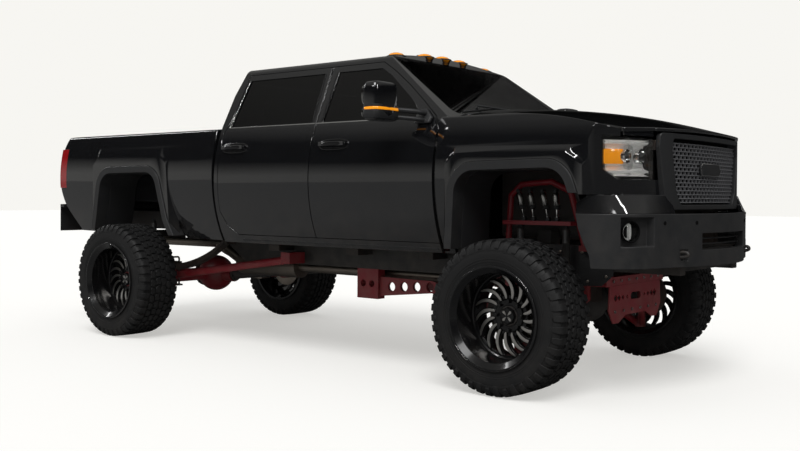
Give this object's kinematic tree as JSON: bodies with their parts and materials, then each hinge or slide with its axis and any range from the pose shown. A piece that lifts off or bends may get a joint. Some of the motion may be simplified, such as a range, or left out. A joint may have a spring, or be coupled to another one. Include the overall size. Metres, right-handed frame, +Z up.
{
  "type": "pickup truck",
  "caption": "Heavy-duty crew-cab pickup truck with a tall lifted suspension, deep wheels on all-terrain tyres, an open load bed and a wide mesh grille.",
  "frame": {"origin": "on the ground, under the middle of the overall length and width", "axes": "+X forwards, +Y to the driver's left, +Z up"},
  "size_m": [6.1, 2.7084, 2.2749],
  "materials": {
    "paint": "gloss black",
    "trim": "satin dark grey",
    "glass": "dark tinted",
    "lamp": "clear lens",
    "tail_lamp": "red lens",
    "tyre": "black rubber",
    "rim": "black with milled edges",
    "lift_red": "red powder coat",
    "chassis": "satin black",
    "cast": "raw",
    "steel": "heat-tinted",
    "interior": "dark grey",
    "seat": "black"
  },
  "bodies": {
    "root": {"cab_shell": "paint", "cab_glass": "glass", "front_fenders": "paint", "grille": "trim", "front_bumper": "trim", "headlamps": "lamp", "tail_lamps": "tail_lamp", "pickup_bed": "paint", "rear_bumper": "trim", "tow_hitch": "chassis", "arch_flares": "trim", "wheel_liners": "interior", "chassis_frame": "chassis", "powertrain": "cast", "radiator": "chassis", "nose_carrier": "chassis", "nose_panel": "paint", "rear_axle": "lift_red", "leaf_springs": "chassis", "traction_bars": "lift_red", "driveline": "cast", "skid_plate": "lift_red", "lift_crossmembers": "lift_red", "front_control_arms": "lift_red", "shock_absorbers": "steel", "shock_hoops": "lift_red", "exhaust": "steel", "fuel_tank": "interior", "dashboard": "interior", "seats": "seat"},
    "door_front_left": {"door_front_left": "paint", "door_front_left_glass": "glass", "mirror_left": "trim"},
    "door_rear_left": {"door_rear_left": "paint", "door_rear_left_glass": "glass"},
    "knuckle_left": {"knuckle_left": "cast"},
    "wheel_front_left": {"rim_front_left": "rim", "tyre_front_left": "tyre"},
    "wheel_rear_left": {"rim_rear_left": "rim", "tyre_rear_left": "tyre"},
    "door_front_right": {"door_front_right": "paint", "door_front_right_glass": "glass", "mirror_right": "trim"},
    "door_rear_right": {"door_rear_right": "paint", "door_rear_right_glass": "glass"},
    "knuckle_right": {"knuckle_right": "cast"},
    "wheel_front_right": {"rim_front_right": "rim", "tyre_front_right": "tyre"},
    "wheel_rear_right": {"rim_rear_right": "rim", "tyre_rear_right": "tyre"},
    "hood": {"hood": "paint"},
    "tailgate": {"tailgate": "paint"},
    "track_rod": {"track_rod": "chassis"},
    "steering_wheel": {"steering_wheel": "interior"}
  },
  "joints": [
    {"name": "door_front_left_hinge", "type": "hinge", "parent": "root", "child": "door_front_left", "pos_m": [1.473, 1.031, 1.3], "axis": [0, 0, -1], "range_deg": [0, 65]},
    {"name": "door_rear_left_hinge", "type": "hinge", "parent": "root", "child": "door_rear_left", "pos_m": [0.334, 1.031, 1.3], "axis": [0, 0, -1], "range_deg": [0, 65]},
    {"name": "door_front_right_hinge", "type": "hinge", "parent": "root", "child": "door_front_right", "pos_m": [1.473, -1.031, 1.3], "axis": [0, 0, 1], "range_deg": [0, 65]},
    {"name": "door_rear_right_hinge", "type": "hinge", "parent": "root", "child": "door_rear_right", "pos_m": [0.334, -1.031, 1.3], "axis": [0, 0, 1], "range_deg": [0, 65]},
    {"name": "hood_hinge", "type": "hinge", "parent": "root", "child": "hood", "pos_m": [1.622, 0, 1.745], "axis": [0, -1, 0], "range_deg": [0, 50]},
    {"name": "tailgate_hinge", "type": "hinge", "parent": "root", "child": "tailgate", "pos_m": [-2.82, 0, 1.236], "axis": [0, -1, 0], "range_deg": [0, 90]},
    {"name": "steer_right", "type": "hinge", "parent": "root", "child": "knuckle_right", "pos_m": [2.04, -0.86, 0.48], "axis": [0, 0, 1], "range_deg": [-30, 30]},
    {"name": "steer_left", "type": "hinge", "parent": "root", "child": "knuckle_left", "pos_m": [2.04, 0.86, 0.48], "axis": [0, 0, 1], "range_deg": [-30, 30]},
    {"name": "track_rod_slide", "type": "slide", "parent": "root", "child": "track_rod", "axis": [0, 1, 0], "range_m": [-0.0702, 0.0702]},
    {"name": "steering_wheel_turn", "type": "hinge", "parent": "root", "child": "steering_wheel", "pos_m": [0.985, 0.4, 1.52], "axis": [-0.8829, 0, 0.4695], "range_deg": [-480, 480]},
    {"name": "wheel_front_left_spin", "type": "hinge", "parent": "knuckle_left", "child": "wheel_front_left", "pos_m": [2.04, 0.959, 0.48], "axis": [0, 1, 0], "continuous": true},
    {"name": "wheel_rear_left_spin", "type": "hinge", "parent": "root", "child": "wheel_rear_left", "pos_m": [-1.864, 0.959, 0.48], "axis": [0, 1, 0], "continuous": true},
    {"name": "wheel_front_right_spin", "type": "hinge", "parent": "knuckle_right", "child": "wheel_front_right", "pos_m": [2.04, -0.959, 0.48], "axis": [0, 1, 0], "continuous": true},
    {"name": "wheel_rear_right_spin", "type": "hinge", "parent": "root", "child": "wheel_rear_right", "pos_m": [-1.864, -0.959, 0.48], "axis": [0, 1, 0], "continuous": true}
  ],
  "couplings": [
    {"joint": "steer_left", "follows": "steer_right", "ratio": 1},
    {"joint": "track_rod_slide", "follows": "steer_right", "m_per_rad": -0.1337},
    {"joint": "steering_wheel_turn", "follows": "steer_right", "ratio": 16}
  ]
}
